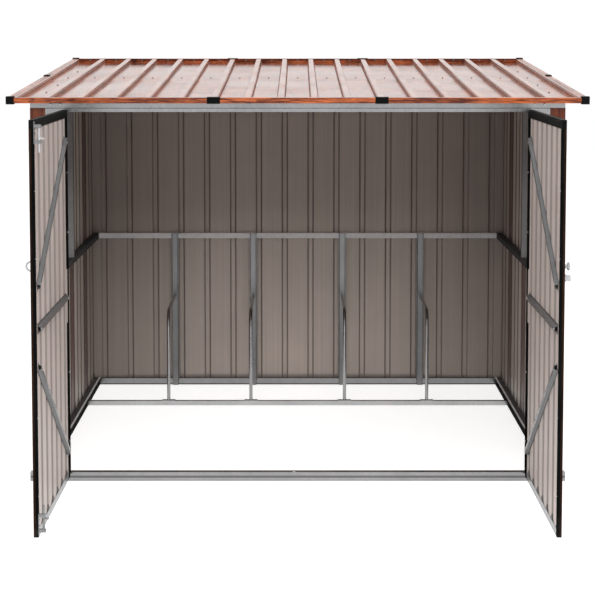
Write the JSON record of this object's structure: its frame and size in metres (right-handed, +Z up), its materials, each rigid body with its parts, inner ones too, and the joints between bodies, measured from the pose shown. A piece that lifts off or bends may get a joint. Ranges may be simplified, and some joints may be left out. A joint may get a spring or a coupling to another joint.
{
  "type": "bike shelter",
  "caption": "Steel bike shelter with ribbed wood-print sheet walls, a low mono-pitch roof, double doors, door bolts and a wheel rack.",
  "frame": {"origin": "on the ground, under the middle of the front sill", "axes": "+X to the right seen from the front, +Y to the rear, +Z up"},
  "size_m": [2.1294, 2.8504, 1.5577],
  "materials": {
    "galvanised_steel": "dull galvanised",
    "printed_sheet": "satin wood print outside, taupe paint inside",
    "black_trim": "satin black",
    "bright_hardware": "bright zinc plated"
  },
  "bodies": {
    "shelter": {"front_sill": "galvanised_steel", "rear_base_rail": "galvanised_steel", "side_base_rails": "galvanised_steel", "front_jambs": "galvanised_steel", "front_header": "galvanised_steel", "rear_top_rail": "galvanised_steel", "side_top_rails": "galvanised_steel", "roof_purlin": "galvanised_steel", "side_mid_rails": "galvanised_steel", "rear_mid_rail": "galvanised_steel", "side_posts": "galvanised_steel", "side_walls": "printed_sheet", "rear_wall": "printed_sheet", "front_corner_trims": "printed_sheet", "rear_corner_trims": "printed_sheet", "roof_lower_sheet": "printed_sheet", "roof_upper_sheet": "printed_sheet", "roof_front_trim": "printed_sheet", "roof_rear_trim": "printed_sheet", "roof_side_trims": "printed_sheet", "roof_corner_caps": "black_trim", "roof_trim_joiners": "black_trim", "rack_floor_rail": "galvanised_steel", "rack_posts": "galvanised_steel", "rack_holders": "galvanised_steel", "door_hinge_brackets": "bright_hardware"},
    "left_door": {"left_door_sheet": "printed_sheet", "left_door_stiles": "black_trim", "left_door_top_rail": "black_trim", "left_door_bottom_rail": "galvanised_steel", "left_door_braces": "galvanised_steel", "left_door_hinge_eyes": "bright_hardware", "left_door_pull": "bright_hardware", "left_door_bolt_guides": "bright_hardware"},
    "right_door": {"right_door_sheet": "printed_sheet", "right_door_stiles": "black_trim", "right_door_top_rail": "black_trim", "right_door_bottom_rail": "galvanised_steel", "right_door_braces": "galvanised_steel", "right_door_hinge_eyes": "bright_hardware", "right_door_knob": "bright_hardware", "right_door_lock": "bright_hardware"},
    "top_bolt": {"top_bolt": "bright_hardware"},
    "bottom_bolt": {"bottom_bolt": "bright_hardware"}
  },
  "joints": [
    {"name": "left_door_hinge", "type": "hinge", "parent": "shelter", "child": "left_door", "pos_m": [-0.855, -0.03, 0], "axis": [0, 0, -1], "range_deg": [-90, 80]},
    {"name": "right_door_hinge", "type": "hinge", "parent": "shelter", "child": "right_door", "pos_m": [0.855, -0.03, 0], "axis": [0, 0, 1], "range_deg": [-90, 80]},
    {"name": "top_bolt_slide", "type": "slide", "parent": "left_door", "child": "top_bolt", "axis": [0, 0, 1], "range_m": [0, 0.03]},
    {"name": "bottom_bolt_slide", "type": "slide", "parent": "left_door", "child": "bottom_bolt", "axis": [0, 0, -1], "range_m": [0, 0.03]}
  ]
}
